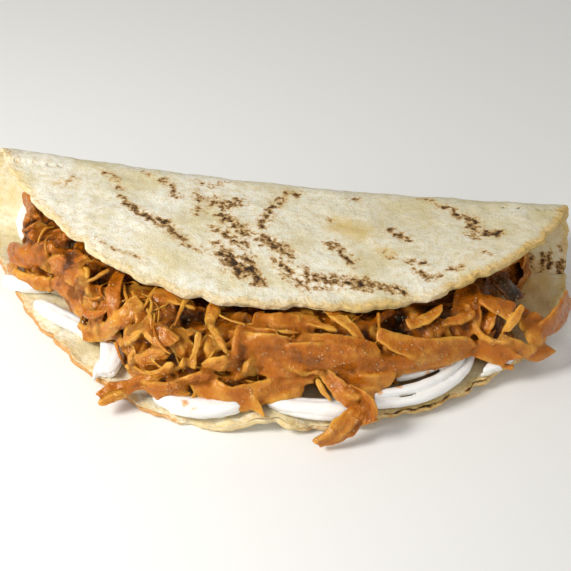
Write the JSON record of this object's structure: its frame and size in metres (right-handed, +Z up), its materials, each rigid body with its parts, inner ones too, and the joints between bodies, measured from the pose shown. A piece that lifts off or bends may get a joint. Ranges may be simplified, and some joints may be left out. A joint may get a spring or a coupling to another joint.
{
  "type": "quesadilla",
  "caption": "Round tortilla folded in half over shredded chicken and onion in red sauce, with ropes of white string cheese along the open front.",
  "frame": {"origin": "on the flat underside, 32 mm in front of the axis of the bend and halfway along the fold", "axes": "+X along the fold, the bend is at +Y and the open front faces -Y, +Z up from the plate"},
  "size_m": [0.1747, 0.0971, 0.0312],
  "materials": {
    "tortilla": "matte",
    "filling": "satin",
    "cheese": "satin"
  },
  "bodies": {
    "root": {"tortilla": "tortilla", "chicken_filling": "filling", "shred_over_front": "filling", "shred_over_left_rim": "filling", "cheese_far_left": "cheese", "cheese_left_blob": "cheese", "cheese_left": "cheese", "cheese_fallen": "cheese", "cheese_front_left": "cheese", "cheese_front": "cheese", "cheese_right": "cheese", "cheese_right_inner": "cheese", "cheese_far_right": "cheese"}
  },
  "joints": []
}
